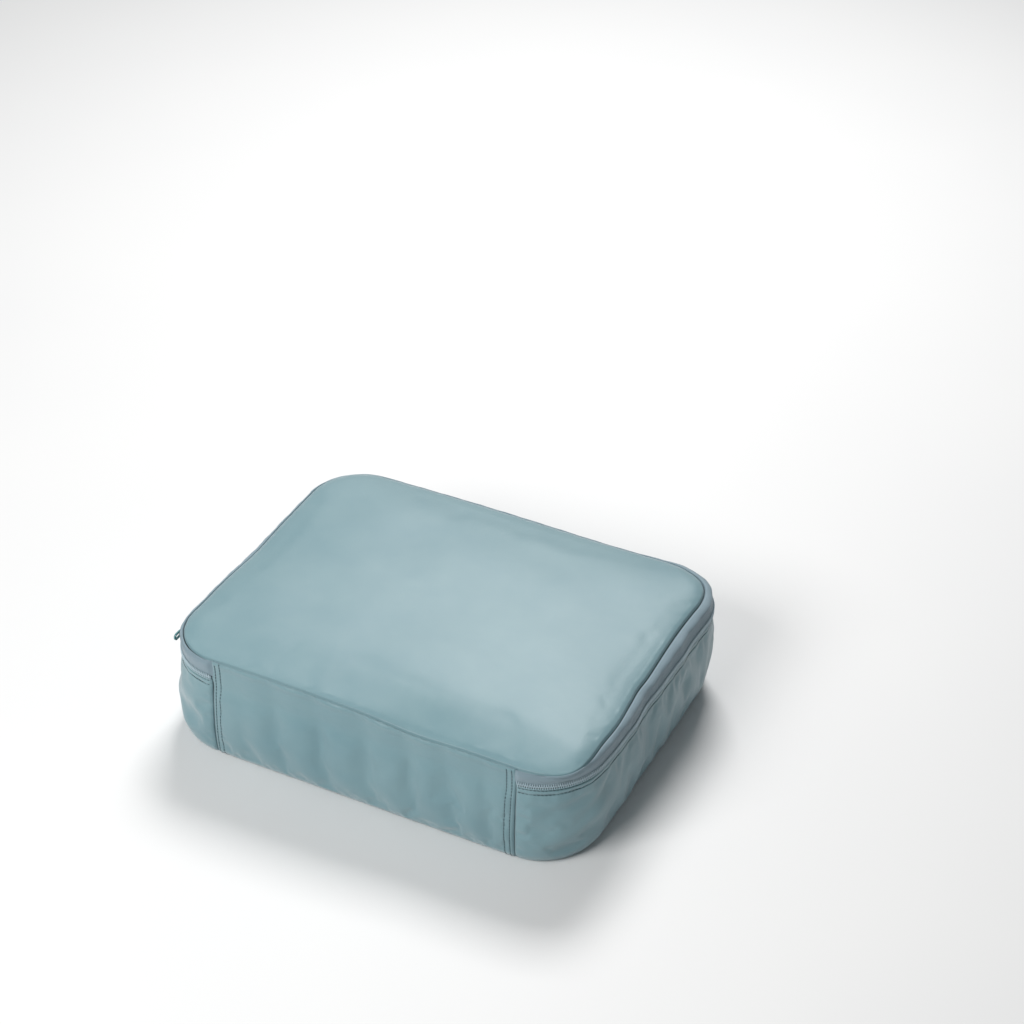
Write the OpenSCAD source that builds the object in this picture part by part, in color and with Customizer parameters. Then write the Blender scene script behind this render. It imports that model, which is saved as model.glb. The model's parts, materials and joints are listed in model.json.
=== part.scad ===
// Soft zip bag for folded clothes, packed full and zipped shut.
// The lid is the top panel with a shallow skirt. The skirt's front strip is the top of the
// hinge panel, and the rest of it is zip tape. The zip runs round three sides and both front
// corners, and it ends at the two upright seams of the hinge panel.
// Origin: centre of the underside. X runs along the hinge, the hinge is on the -Y side, Z is up.

/* [Bag] */
// Length along the hinged side
bag_l = 420; // [320:1:520]
// Depth from the hinged side to the opening side
bag_w = 330; // [240:1:420]
// Height of the top seam above the floor
seam_h = 108; // [70:1:160]
// Rise of the packed top panel above its seam
crown_h = 12; // [4:0.5:25]
// Radius of the four upright corners
corner_r = 56; // [40:1:80]
// Distance from the end of a front corner to the upright seam
seam_inset = 2; // [0:0.5:20]

/* [Fabric] */
// Thickness of the laminated panel fabric
fabric_t = 1.2; // [0.8:0.1:2]
// Thickness of a binding folded over raw edges
binding_t = 1.6; // [1:0.1:2.4]
// Width of a binding
binding_w = 9; // [6:0.5:12]
// Width of the flat rim by which the top panel is sewn
rim_w = 5; // [4:0.5:8]

/* [Zip] */
// Drop from the top seam to the middle of the zip
zip_drop = 17; // [15:0.5:26]
// Width of one zip tape
tape_w = 16; // [14:0.5:20]
// Thickness of the zip tape
tape_t = 0.6; // [0.4:0.1:1]
// Distance from the middle of the zip to a coil's outer edge
coil_reach = 3; // [2.6:0.1:3.6]
// Clear height between the two coils, where their heads mesh and a slider's neck runs
coil_gap = 1.6; // [1.2:0.1:2]
// How far a coil stands out of the side wall
coil_proud = 0.5; // [0.2:0.1:1]
// Length of tape sewn behind each end of the hinge panel
tape_tuck = 8; // [4:0.5:12]
// Drop from the middle of the zip to the side wall's folded edge
hem_drop = 3; // [3:0.1:5]

/* [Stitching] */
// Height of a row of stitches, and how wide its thread lies
thread_w = 0.5; // [0.3:0.1:1]
// How far a stitch stands out of the fabric
thread_proud = 0.35; // [0.2:0.05:0.6]
// Distance from a folded edge to its first row
row_one = 1.8; // [1.6:0.1:4]
// Distance from a folded edge to its second row
row_two = 6.8; // [5:0.1:10]
// Distance from an upright seam to its first row
seam_row_one = 3.8; // [2:0.1:6]
// Distance from an upright seam to its second row
seam_row_two = 8.8; // [7:0.1:13]

/* [Slider] */
// Length of a slider along the zip
slider_l = 11; // [9:0.5:14]
// Width of a slider at its head
head_w = 8.6; // [7.6:0.1:10]
// Width of a slider at its tail
tail_w = 7; // [6:0.1:8]
// Thickness of each slider plate
plate_t = 1.1; // [0.8:0.1:1.5]
// Thickness of the neck between the plates
neck_t = 1.2; // [0.8:0.1:1.2]
// Length of the neck between the plates
neck_l = 3; // [2:0.1:4]
// Clearance between a slider plate and what runs past it
plate_gap = 0.5; // [0.4:0.1:0.8]
// Gap between the two sliders where they meet
slider_gap = 1; // [0.6:0.1:3]

/* [Crown and lock pin] */
// Length of the crown along the zip
crown_l = 7.2; // [6:0.1:8]
// Width of the crown
crown_w = 2.2; // [1.6:0.1:2.6]
// Thickness of the crown's bar and legs
crown_t = 1; // [0.8:0.1:1.2]
// Thickness of the lock pin's spring strip
pin_t = 0.4; // [0.3:0.1:0.5]
// Width of the lock pin
pin_w = 1; // [0.6:0.1:1.2]

/* [Pull] */
// Length of a pull from its hinge wire to its tip
pull_l = 24; // [18:0.5:32]
// Width of a pull at its free end
pull_w = 7; // [5:0.1:9]
// Thickness of a pull
pull_t = 1.4; // [1:0.1:1.8]
// Radius of the pull's hinge wire
wire_r = 0.55; // [0.4:0.05:0.7]
// Running clearance round the hinge wire and beside the crown
wire_gap = 0.3; // [0.15:0.05:0.5]
// Width of each strut beside the crown
strut_w = 1.1; // [0.8:0.1:1.5]
// Length of the window that the crown stands in
window_l = 4.8; // [4.4:0.1:6]
// Length of the slot near the free end
slot_l = 7; // [4:0.5:10]
// Width of the slot near the free end
slot_w = 3; // [2:0.1:4]

/* [Hinge] */
// Half of the slit left at the fold line
fold_gap = 0.3; // [0.2:0.05:0.5]

/* [Hidden] */

fabric_colour = [0.60, 0.72, 0.73];
tape_colour = [0.53, 0.63, 0.67];
thread_colour = [0.20, 0.33, 0.34];
metal_colour = [0.38, 0.58, 0.60];
steel_colour = [0.72, 0.73, 0.74];

arc_fn = 96;
cut = 1;                                        // overshoot of a cutting shape
zip_z = seam_h - zip_drop;                      // middle of the zip, and the lid's fold line
hem_z = zip_z - hem_drop;                       // folded top edge of the side wall
hinge_half = bag_l / 2 - corner_r - seam_inset; // half the length of the hinge panel
tape_in = fabric_t;                             // inset of the tape's outer face
tape_back = tape_in + tape_t;                   // inset of the tape's inner face
lid_edge_z = zip_z + coil_gap / 2;              // lower edge of the lid's tape and coil
base_edge_z = zip_z - coil_gap / 2;             // upper edge of the base's tape and coil
tape_foot_z = base_edge_z - tape_w;             // lower edge of the base's tape
front_y = -bag_w / 2;                           // outer face of the hinge panel

// Insets and heights of the slider, measured outwards from the side wall's outer face
front_in = coil_proud + plate_gap;              // inner face of the front plate
front_out = front_in + plate_t;                 // outer face of the front plate
back_out = -(tape_back + plate_gap);            // the back plate's face towards the tape
wire_n = front_out + wire_gap + wire_r;         // middle of the pull's hinge wire
strip_n = wire_n + wire_r + wire_gap / 2;       // underside of the lock pin's strip
bar_n = strip_n + pin_t;                        // underside of the crown's bar
near_y = front_y + corner_r;                    // middle of the slider nearer the hinge
far_y = near_y + slider_l + slider_gap;         // middle of the other slider
prong_w = 0.6;                                  // width of the lock pin's prong
prong_x = -crown_l / 2 + crown_t + prong_w / 2; // the prong stands against the crown's tail leg
prong_n = coil_proud + 0.1;                     // tip of the prong, just clear of the coil
head_cut = 1.8;                                 // chamfer of a plate's head corners
tail_cut = 1;                                   // chamfer of a plate's tail corners
shoulder_x = 0.6;                               // where a plate reaches its full width
neck_set = 1;                                   // distance from a plate's head end to the neck

top_rings = 10;                                 // rings of points from the top panel's rim inwards
top_steps = 22;                                 // steps round each quarter of the top panel
crown_flat = 2.4;                               // higher is flatter in the middle
crown_round = 0.9;                              // lower is steeper at the rim

// Plan of the bag, inset from its outer face
module plan(inset = 0) {
    l = bag_l - 2 * inset;
    w = bag_w - 2 * inset;
    r = corner_r - inset;
    square([l - 2 * r, w], center = true);
    square([l, w - 2 * r], center = true);
    for (x = [-1, 1], y = [-1, 1])
        translate([x * (l / 2 - r), y * (w / 2 - r)])
            circle(r, $fn = arc_fn);
}

// A closed band round the bag between two insets and two heights
module band(outer, inner, low, high)
    translate([0, 0, low])
        linear_extrude(high - low)
            difference() {
                plan(outer);
                plan(inner);
            }

// A band that is open along the front between -open_half and open_half
module open_band(outer, inner, low, high, open_half)
    translate([0, 0, low])
        linear_extrude(high - low)
            difference() {
                plan(outer);
                plan(inner);
                translate([-open_half, front_y - corner_r / 2])
                    square([2 * open_half, corner_r]);
            }

// A flat piece of the front between two heights, centred on x
module front_piece(x, width, outer, inner, low, high)
    translate([x - width / 2, front_y + outer, low])
        cube([width, inner - outer, high - low]);

module bottom_panel()
    color(fabric_colour)
        linear_extrude(fabric_t)
            plan();

module side_wall()
    color(fabric_colour)
        open_band(0, fabric_t, fabric_t, hem_z, hinge_half);

module hinge_panel()
    color(fabric_colour)
        front_piece(0, 2 * hinge_half, 0, fabric_t, fabric_t, zip_z - fold_gap);

module hinge_strip()
    color(fabric_colour)
        front_piece(0, 2 * hinge_half, 0, fabric_t, zip_z + fold_gap, seam_h);

module lower_zip_tape()
    color(tape_colour)
        open_band(tape_in, tape_back, tape_foot_z, base_edge_z, hinge_half - tape_tuck);

module upper_zip_tape()
    color(tape_colour)
        open_band(tape_in, tape_back, lid_edge_z, seam_h, hinge_half - tape_tuck);

module lower_coil()
    color(tape_colour)
        open_band(-coil_proud, tape_in, zip_z - coil_reach, base_edge_z, hinge_half + fold_gap);

module upper_coil()
    color(tape_colour)
        open_band(-coil_proud, tape_in, lid_edge_z, zip_z + coil_reach, hinge_half + fold_gap);

module bottom_binding()
    color(tape_colour)
        band(fabric_t, fabric_t + binding_t, fabric_t, fabric_t + binding_w);

module lid_binding()
    color(tape_colour)
        band(tape_back, tape_back + binding_t, seam_h - binding_w, seam_h);

// Upright binding inside one end of the hinge panel; side is -1 on the left and 1 on the right
module seam_binding(side)
    color(tape_colour)
        front_piece(side * (hinge_half + seam_inset - binding_w / 2), binding_w, fabric_t, fabric_t + binding_t,
                    fabric_t + binding_w, tape_foot_z);

module hem_stitches(drop)
    color(thread_colour)
        open_band(-thread_proud, 0, hem_z - drop - thread_w / 2, hem_z - drop + thread_w / 2,
                  hinge_half + thread_w);

// The two upright rows at one end of the hinge panel
module seam_rows(side, low, high)
    color(thread_colour)
        for (drop = [seam_row_one, seam_row_two])
            front_piece(side * (hinge_half - drop), thread_w, -thread_proud, 0, low, high);

module strip_stitches()
    for (side = [-1, 1])
        seam_rows(side, zip_z + fold_gap, seam_h);

// Points round the plan of the bag, shrunk about its centre by a factor and inset by a distance
function plan_ring(scale, inset, z) = [
    for (quarter = [0:3], i = [0:top_steps])
        let (
            a = quarter * 90 + 90 * i / top_steps,
            sx = (quarter == 0 || quarter == 3) ? 1 : -1,
            sy = (quarter < 2) ? 1 : -1,
            r = corner_r - inset
        )
        [
            scale * (sx * (bag_l / 2 - corner_r) + r * cos(a)),
            scale * (sy * (bag_w / 2 - corner_r) + r * sin(a)),
            z
        ]
];

// The crowned sheet: a flat sewn rim, then a rise that flattens towards the middle
function crown_z(s) = crown_h * pow(1 - pow(s, crown_flat), crown_round);

module top_panel() {
    around = 4 * (top_steps + 1);
    scales = [for (k = [0:top_rings - 1]) 1 - k / top_rings];
    upper = [
        plan_ring(1, 0, seam_h + fabric_t),
        for (s = scales) plan_ring(s, rim_w, seam_h + fabric_t + crown_z(s))
    ];
    lower = [
        plan_ring(1, 0, seam_h),
        for (s = scales) plan_ring(s, rim_w, seam_h + crown_z(s))
    ];
    rows = top_rings + 1;
    points = [
        for (ring = upper, p = ring) p,
        for (ring = lower, p = ring) p,
        [0, 0, seam_h + fabric_t + crown_h],
        [0, 0, seam_h + crown_h]
    ];
    under = rows * around;
    apex = 2 * rows * around;
    faces = [
        for (k = [0:rows - 2], i = [0:around - 1])
            let (j = (i + 1) % around)
            [k * around + i, (k + 1) * around + i, (k + 1) * around + j, k * around + j],
        for (k = [0:rows - 2], i = [0:around - 1])
            let (j = (i + 1) % around)
            [under + k * around + i, under + k * around + j,
             under + (k + 1) * around + j, under + (k + 1) * around + i],
        for (i = [0:around - 1])
            let (j = (i + 1) % around)
            [i, j, under + j, under + i],
        for (i = [0:around - 1])
            let (j = (i + 1) % around, last = (rows - 1) * around)
            [last + i, apex, last + j],
        for (i = [0:around - 1])
            let (j = (i + 1) % around, last = under + (rows - 1) * around)
            [last + i, last + j, apex + 1]
    ];
    color(fabric_colour)
        polyhedron(points, faces, convexity = 4);
}

// Slider parts are drawn along +X towards the slider's head, with +Y out of the bag.

// Outline of a slider plate
module plate_outline() {
    half = slider_l / 2;
    polygon([
        [-half, tail_w / 2 - tail_cut], [-half + tail_cut, tail_w / 2],
        [shoulder_x, head_w / 2], [half - head_cut, head_w / 2],
        [half, head_w / 2 - head_cut], [half, -head_w / 2 + head_cut],
        [half - head_cut, -head_w / 2], [shoulder_x, -head_w / 2],
        [-half + tail_cut, -tail_w / 2], [-half, -tail_w / 2 + tail_cut]
    ]);
}

// Extrudes an outline that is drawn in X and Z, between two distances along Y
module upright(low, high)
    translate([0, high, 0])
        rotate([90, 0, 0])
            linear_extrude(high - low)
                children();

module slider_body()
    color(metal_colour) {
        difference() {
            upright(front_in, front_out) plate_outline();
            translate([prong_x - prong_w, front_in - cut, -pin_w])
                cube([2 * prong_w, plate_t + 2 * cut, 2 * pin_w]);
        }
        upright(back_out - plate_t, back_out) plate_outline();
        translate([slider_l / 2 - neck_l - neck_set, back_out, -neck_t / 2])
            cube([neck_l, front_in - back_out, neck_t]);
    }

module slider_crown()
    color(metal_colour)
        translate([0, 0, -crown_w / 2])
            linear_extrude(crown_w)
                difference() {
                    union() {
                        translate([-crown_l / 2, front_out])
                            square([crown_l, bar_n - front_out]);
                        for (x = [-1, 1])
                            translate([x * (crown_l / 2 - crown_t), bar_n])
                                circle(crown_t, $fn = 32);
                        translate([-crown_l / 2 + crown_t, bar_n])
                            square([crown_l - 2 * crown_t, crown_t]);
                    }
                    translate([-crown_l / 2 + crown_t, front_out - cut])
                        square([crown_l - 2 * crown_t, bar_n - front_out + cut]);
                }

// Spring strip under the crown's bar, with a prong that reaches through the front plate
module lock_pin()
    color(steel_colour)
        translate([0, 0, -pin_w / 2])
            linear_extrude(pin_w) {
                translate([-crown_l / 2 + crown_t, strip_n])
                    square([crown_l - 2 * crown_t, pin_t]);
                translate([prong_x - prong_w / 2, prong_n])
                    square([prong_w, strip_n - prong_n + pin_t]);
            }

// Pull lying back over the slider's tail
module pull() {
    inner = crown_w / 2 + wire_gap;
    outer = inner + strut_w;
    tip = pull_l - pull_w / 2;
    slot_end = tip - (slot_l - slot_w);
    color(metal_colour) {
        translate([0, wire_n, -outer])
            cylinder(r = wire_r, h = 2 * outer, $fn = 32);
        for (side = [-1, 1])
            translate([-window_l, wire_n - wire_r, side * (inner + strut_w / 2) - strut_w / 2])
                cube([window_l, 2 * wire_r, strut_w]);
        difference() {
            union() {
                upright(wire_n - pull_t / 2, wire_n + pull_t / 2)
                    polygon([
                        [-window_l, outer], [-window_l, -outer],
                        [-slot_end, -pull_w / 2], [-tip, -pull_w / 2],
                        [-tip, pull_w / 2], [-slot_end, pull_w / 2]
                    ]);
                translate([-tip, wire_n + pull_t / 2, 0])
                    rotate([90, 0, 0])
                        cylinder(r = pull_w / 2, h = pull_t, $fn = 64);
            }
            upright(wire_n - pull_t, wire_n + pull_t) {
                translate([-tip, -slot_w / 2])
                    square([tip - slot_end, slot_w]);
                for (x = [tip, slot_end])
                    translate([-x, 0])
                        circle(slot_w / 2, $fn = 32);
            }
        }
    }
}

// Puts a slider part on the left side; the near slider's head faces +Y and the far one's -Y
module at_near()
    translate([-bag_l / 2, near_y, zip_z])
        rotate([0, 0, 90])
            children();

module at_far()
    translate([-bag_l / 2, far_y, zip_z])
        rotate([0, 0, 90])
            mirror([1, 0, 0])
                children();

bottom_panel();
side_wall();
hinge_panel();
lower_zip_tape();
lower_coil();
bottom_binding();
seam_binding(-1);  // left_seam_binding
seam_binding(1);  // right_seam_binding
hem_stitches(row_one);  // hem_stitches_upper
hem_stitches(row_two);  // hem_stitches_lower
seam_rows(-1, fabric_t, zip_z - fold_gap);  // left_seam_stitches
seam_rows(1, fabric_t, zip_z - fold_gap);  // right_seam_stitches
top_panel();
hinge_strip();
upper_zip_tape();
upper_coil();
lid_binding();
strip_stitches();
at_near() slider_body();  // near_slider_body
at_near() slider_crown();  // near_slider_crown
at_near() lock_pin();  // near_lock_pin
at_near() pull();  // near_pull
at_far() slider_body();  // far_slider_body
at_far() slider_crown();  // far_slider_crown
at_far() lock_pin();  // far_lock_pin
at_far() pull();  // far_pull
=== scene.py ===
# Packing cube, packed full and zipped shut: crowned top, one-piece hinge panel, zip on three sides.
import json
import math

import bpy
import numpy as np
from mathutils import Matrix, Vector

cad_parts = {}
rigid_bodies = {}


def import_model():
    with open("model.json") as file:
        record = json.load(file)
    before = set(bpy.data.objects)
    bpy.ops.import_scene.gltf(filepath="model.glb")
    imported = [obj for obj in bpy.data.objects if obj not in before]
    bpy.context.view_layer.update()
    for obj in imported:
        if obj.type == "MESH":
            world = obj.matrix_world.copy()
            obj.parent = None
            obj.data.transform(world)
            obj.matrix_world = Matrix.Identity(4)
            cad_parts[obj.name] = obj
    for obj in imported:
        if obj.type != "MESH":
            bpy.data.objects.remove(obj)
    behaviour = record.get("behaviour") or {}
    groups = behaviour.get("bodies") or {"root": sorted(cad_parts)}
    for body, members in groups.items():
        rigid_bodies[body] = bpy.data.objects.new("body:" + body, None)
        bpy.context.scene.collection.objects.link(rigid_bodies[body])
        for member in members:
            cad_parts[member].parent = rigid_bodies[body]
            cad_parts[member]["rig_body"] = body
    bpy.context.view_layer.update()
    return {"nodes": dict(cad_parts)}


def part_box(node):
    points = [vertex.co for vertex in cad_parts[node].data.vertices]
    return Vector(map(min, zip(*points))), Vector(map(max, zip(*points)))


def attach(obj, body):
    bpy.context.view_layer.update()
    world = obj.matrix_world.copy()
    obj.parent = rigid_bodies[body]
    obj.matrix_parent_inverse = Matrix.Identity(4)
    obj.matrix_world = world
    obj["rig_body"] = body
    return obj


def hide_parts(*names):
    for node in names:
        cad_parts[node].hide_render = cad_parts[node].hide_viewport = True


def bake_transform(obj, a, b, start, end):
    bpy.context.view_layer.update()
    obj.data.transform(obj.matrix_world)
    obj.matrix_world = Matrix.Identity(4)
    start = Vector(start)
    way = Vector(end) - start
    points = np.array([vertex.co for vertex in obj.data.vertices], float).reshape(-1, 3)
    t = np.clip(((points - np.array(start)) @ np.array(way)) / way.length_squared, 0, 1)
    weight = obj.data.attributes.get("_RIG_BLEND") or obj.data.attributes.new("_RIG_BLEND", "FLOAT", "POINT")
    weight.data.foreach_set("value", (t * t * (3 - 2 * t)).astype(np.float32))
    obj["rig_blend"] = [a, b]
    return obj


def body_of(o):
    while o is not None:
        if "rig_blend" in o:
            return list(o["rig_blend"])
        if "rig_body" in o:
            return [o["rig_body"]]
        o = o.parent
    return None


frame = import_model()
scene = bpy.context.scene
mm = 0.001
print("frame loaded,", len(frame["nodes"]), "nodes")

# The bag's plan, as a distance round it
bag = {
    "halfLong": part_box("side_wall")[1].x,
    "halfDeep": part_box("side_wall")[1].y,
    "corner": 56 * mm,
    "hingeLeft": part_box("hinge_panel")[0].x,
    "hingeRight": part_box("hinge_panel")[1].x + 4 * mm,
    "seam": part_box("hinge_strip")[1].z,
    "hem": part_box("side_wall")[1].z,
    "zip": (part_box("lower_coil")[1].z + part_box("upper_coil")[0].z) / 2,
}
straightX = bag["halfLong"] - bag["corner"]
straightY = bag["halfDeep"] - bag["corner"]
quarter = math.pi * bag["corner"] / 2
legs = np.array([straightX, quarter, 2 * straightY, quarter, 2 * straightX,
                 quarter, 2 * straightY, quarter, straightX])
legEnd = np.cumsum(legs)
legStart = legEnd - legs
girth = float(legEnd[-1])
legAngle = np.radians([-90, -90, 0, 0, 90, 90, 180, 180, 270])
legTurn = np.array([0, 1, 0, 1, 0, 1, 0, 1, 0])
legX = straightX * np.array([0, 1, 1, 1, 1, -1, -1, -1, -1])
legY = straightY * np.array([-1, -1, -1, 1, 1, 1, 1, -1, -1])
rightMiddle = straightX + quarter + straightY  # distances round the bag, anticlockwise from the middle of the hinge
farMiddle = girth / 2
leftMiddle = girth - rightMiddle
zipStart, zipEnd = bag["hingeRight"], girth + bag["hingeLeft"]


def aroundBag(t):
    # point and outward normal of the outline: each leg is its origin plus the corner radius along the
    # normal, and the normal turns on the corners while the point runs on along the straights
    t = np.mod(t, girth)
    leg = np.clip(np.searchsorted(legStart, t, side="right") - 1, 0, 8)
    d = t - legStart[leg]
    angle = legAngle[leg] + legTurn[leg] * d / bag["corner"]
    nx, ny = np.cos(angle), np.sin(angle)
    run = d * (1 - legTurn[leg])
    return legX[leg] + bag["corner"] * nx - run * ny, legY[leg] + bag["corner"] * ny + run * nx, nx, ny


def nearestRun(x, y):
    # distance round the bag of the outline's nearest point
    cx, cy = np.clip(x, -straightX, straightX), np.clip(y, -straightY, straightY)
    corner = (np.abs(x) > straightX) & (np.abs(y) > straightY)
    angle = np.where(corner, np.arctan2(np.abs(x) - straightX, np.abs(y) - straightY), 0)
    side = np.abs(x) - straightX > np.abs(y) - straightY
    # worked out in the front right quarter, then carried to the others
    straight = np.where(side, straightX + quarter + straightY - np.abs(cy), np.abs(cx))
    run = np.where(corner, straightX + bag["corner"] * angle, straight)
    run = np.where(y < 0, run, girth / 2 - run)
    return np.where(x >= 0, run, girth - run)


def insideBy(x, y):
    # distance inside the outline of a rounded rectangle
    qx, qy = np.abs(x) - straightX, np.abs(y) - straightY
    return bag["corner"] - np.hypot(np.maximum(qx, 0), np.maximum(qy, 0)) - np.minimum(np.maximum(qx, qy), 0)


def swell(t, places):
    # sum of bell curves, each (distance round the bag, half width, height) in millimetres
    total = np.zeros_like(t)
    for at, wide, high in places:
        d = np.mod(t - at * mm + girth / 2, girth) - girth / 2
        total = total + high * mm * np.exp(-((d / (wide * mm)) ** 2))
    return total


def ease(x, low, high):
    # 0 below low, 1 above high, smooth between
    s = np.clip((x - low) / (high - low), 0, 1)
    return s * s * (3 - 2 * s)


rm, fm, lm = rightMiddle / mm, farMiddle / mm, leftMiddle / mm
drift = {
    "rise": [(-95, 75, 2.2), (60, 42, -5.0), (140, 50, -3.6), (200, 35, -2.4), (rm + 60, 40, 0.8),
             (rm - 10, 26, -0.6), (fm - 90, 60, -1.0), (fm + 60, 70, 0.8), (lm - 20, 40, -0.8), (lm + 50, 30, 0.6)],
    "seam": [(202, 24, 7.1), (rm - 75, 28, 2.6), (rm - 22, 13, -1.0), (rm + 70, 65, -2.4), (497, 22, 3.6),
             (fm, 150, -0.4), (lm + 10, 115, -3.1), (lm + 62, 24, 0.6), (lm + 8, 24, -0.8), (lm - 46, 26, 0.6)],
    "zip": [(300, 16, 0.9), (332, 18, -1.5), (404, 14, 0.8), (430, 10, -0.5), (497, 28, 3.6), (fm, 120, 1.8)],
    "shoulder": 6.2,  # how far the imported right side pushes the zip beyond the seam
}


def seamRise(t):
    return swell(t, drift["rise"])


def seamSway(t):
    return swell(t, drift["seam"]) - 1.6 * mm


def zipRise(t):
    return 0.3 * seamRise(t) * (1 - slidersPass(t))


def zipSway(t):
    plateau = drift["shoulder"] * mm * ease(t, 188 * mm, 275 * mm) * (1 - ease(t, 505 * mm, 600 * mm))
    return (swell(t, drift["zip"]) + plateau) * (1 - slidersPass(t)) * ease(t, zipStart, zipStart + 30 * mm)


def slidersPass(t):
    # 1 along the left side and its front corner, where the sliders run on a straight zip
    return ease(t, leftMiddle - straightY - 70 * mm, leftMiddle - straightY - 20 * mm)


# Making meshes
def gridFaces(nu, nv, wrapU=False, wrapV=False):
    # quads of an nu by nv grid, as point numbers and as unwrapped grid numbers for the map
    i, j = np.meshgrid(np.arange(nu if wrapU else nu - 1), np.arange(nv if wrapV else nv - 1), indexing="ij")
    i, j = i.ravel(), j.ravel()
    cornersI = np.stack([i, i + 1, i + 1, i], 1)
    cornersJ = np.stack([j, j, j + 1, j + 1], 1)
    return (cornersI % nu) * nv + cornersJ % nv, cornersI, cornersJ


def facesOut(points, faces, middle):
    # flips faces whose area-weighted normals point towards the middle
    a, b, c, d = (points[faces[:, k]] for k in range(4))
    normal = np.cross(c - a, d - b)
    toward = (a + b + c + d) / 4 - middle
    return faces if (normal * toward).sum() > 0 else faces[:, ::-1]


def addPiece(name, points, faces, finishes, uv=None):
    mesh = bpy.data.meshes.new(name)
    mesh.from_pydata(points.tolist(), [], faces if isinstance(faces, list) else faces.tolist())
    if uv is not None:
        layer = mesh.uv_layers.new(name="cloth")
        layer.data.foreach_set("uv", uv.astype(np.float32).ravel())
    for finish in finishes:
        mesh.materials.append(finish)
    mesh.polygons.foreach_set("use_smooth", np.full(len(mesh.polygons), True))
    mesh.update()
    piece = bpy.data.objects.new(name, mesh)
    scene.collection.objects.link(piece)
    return piece


def gridPiece(name, grid, u, v, finishes, wrapU=False, wrapV=False):
    # a surface from an array of points over two parameters, with a map in metres along each
    nu, nv = grid.shape[:2]
    points = grid.reshape(-1, 3)
    faces, cornersI, cornersJ = gridFaces(nu, nv, wrapU, wrapV)
    middle = grid.mean(axis=1)[cornersI[:, 0] % nu] if wrapV else np.array([0, 0, bag["seam"] / 2])
    turned = facesOut(points, faces, middle)
    if turned is not faces:
        cornersI, cornersJ = cornersI[:, ::-1], cornersJ[:, ::-1]
    uv = np.stack([u[cornersI], v[cornersJ]], -1)
    return addPiece(name, points, turned, finishes, uv)


def thicken(piece, thickness):
    solid = piece.modifiers.new("thickness", "SOLIDIFY")
    solid.thickness = thickness
    solid.offset = -1
    solid.use_even_offset = False
    solid.material_offset = 1
    solid.material_offset_rim = 0
    return piece


def alongRows(grid, positions):
    # cubic interpolation of a grid's rows at fractional row numbers
    n = len(grid)
    base = np.clip(np.floor(positions).astype(int), 0, n - 2)
    f = (positions - base).reshape((-1,) + (1,) * (grid.ndim - 1))
    a, b, c, d = (grid[np.clip(base + k, 0, n - 1)] for k in (-1, 0, 1, 2))
    return b + 0.5 * f * (c - a + f * (2 * a - 5 * b + 4 * c - d + f * (3 * (b - c) + d - a)))


def resampled(grid, across, along):
    # the grid at fractional rows of its first direction and fractional columns of its second
    return alongRows(alongRows(grid, across).transpose(1, 0, 2), along).transpose(1, 0, 2)


def lengthAlong(line):
    # running length of a row of points
    return np.concatenate([[0], np.cumsum(np.linalg.norm(np.diff(line, axis=0), axis=1))])


def unevenness(a, b, seed, short, long):
    # smooth random heights about one unit high: a sum of plane waves with lengths between short and long
    rng = np.random.default_rng(seed)
    total = np.zeros(np.broadcast(a, b).shape)
    for _ in range(36):
        turn, phase = rng.uniform(0, 2 * np.pi, 2)
        wave = 2 * np.pi / (rng.uniform(short, long) * mm)
        total += np.cos(wave * (a * math.cos(turn) + b * math.sin(turn)) + phase)
    return total / 4.3


def slackCloth(name, grid, held, cloth):
    # the panel as cloth cut a little too large and pushed from inside, with its held points kept where they are
    shape = grid.shape
    rest = grid.reshape(-1, 3)
    faces = gridFaces(shape[0], shape[1])[0]
    faces = facesOut(rest, faces, np.array([0, 0, bag["seam"] / 2]))
    piece = addPiece(name, rest, faces, [])
    group = piece.vertex_groups.new(name="held")
    group.add(np.flatnonzero(held.ravel()).tolist(), 1.0, "REPLACE")
    modifier = piece.modifiers.new("cloth", "CLOTH")
    setup = modifier.settings
    setup.vertex_group_mass = "held"
    setup.quality = 6
    setup.mass = 0.2
    setup.tension_stiffness = setup.compression_stiffness = 15
    setup.shear_stiffness = 5
    setup.bending_stiffness = cloth["bend"]
    setup.use_pressure = True
    setup.uniform_pressure_force = cloth["push"]
    setup.shrink_min = -cloth["slack"]
    setup.effector_weights.gravity = 0
    modifier.point_cache.frame_start = 1
    modifier.point_cache.frame_end = cloth["steps"]
    for step in range(1, cloth["steps"] + 1):
        scene.frame_set(step)
    shaped = piece.evaluated_get(bpy.context.evaluated_depsgraph_get())
    settled = np.zeros(rest.size, np.float32)
    shaped.data.vertices.foreach_get("co", settled)
    moved = settled.reshape(-1, 3) - rest
    bpy.data.objects.remove(piece)
    scene.frame_set(1)
    far = np.linalg.norm(moved, axis=1, keepdims=True)
    cap = cloth["cap"] * mm
    moved = moved * np.where(far > 1e-9, cap * np.tanh(far / cap) / np.maximum(far, 1e-9), 1)
    print(name, "moved by up to", round(float(np.linalg.norm(moved, axis=1).max()) / mm, 2), "mm")
    return moved.reshape(shape)


# Finishes
def linear(hexColour):
    # linear light from a display colour
    c = np.array([int(hexColour[k : k + 2], 16) for k in (1, 3, 5)]) / 255
    return tuple(np.where(c <= 0.04045, c / 12.92, ((c + 0.055) / 1.055) ** 2.4).tolist()) + (1.0,)


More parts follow.
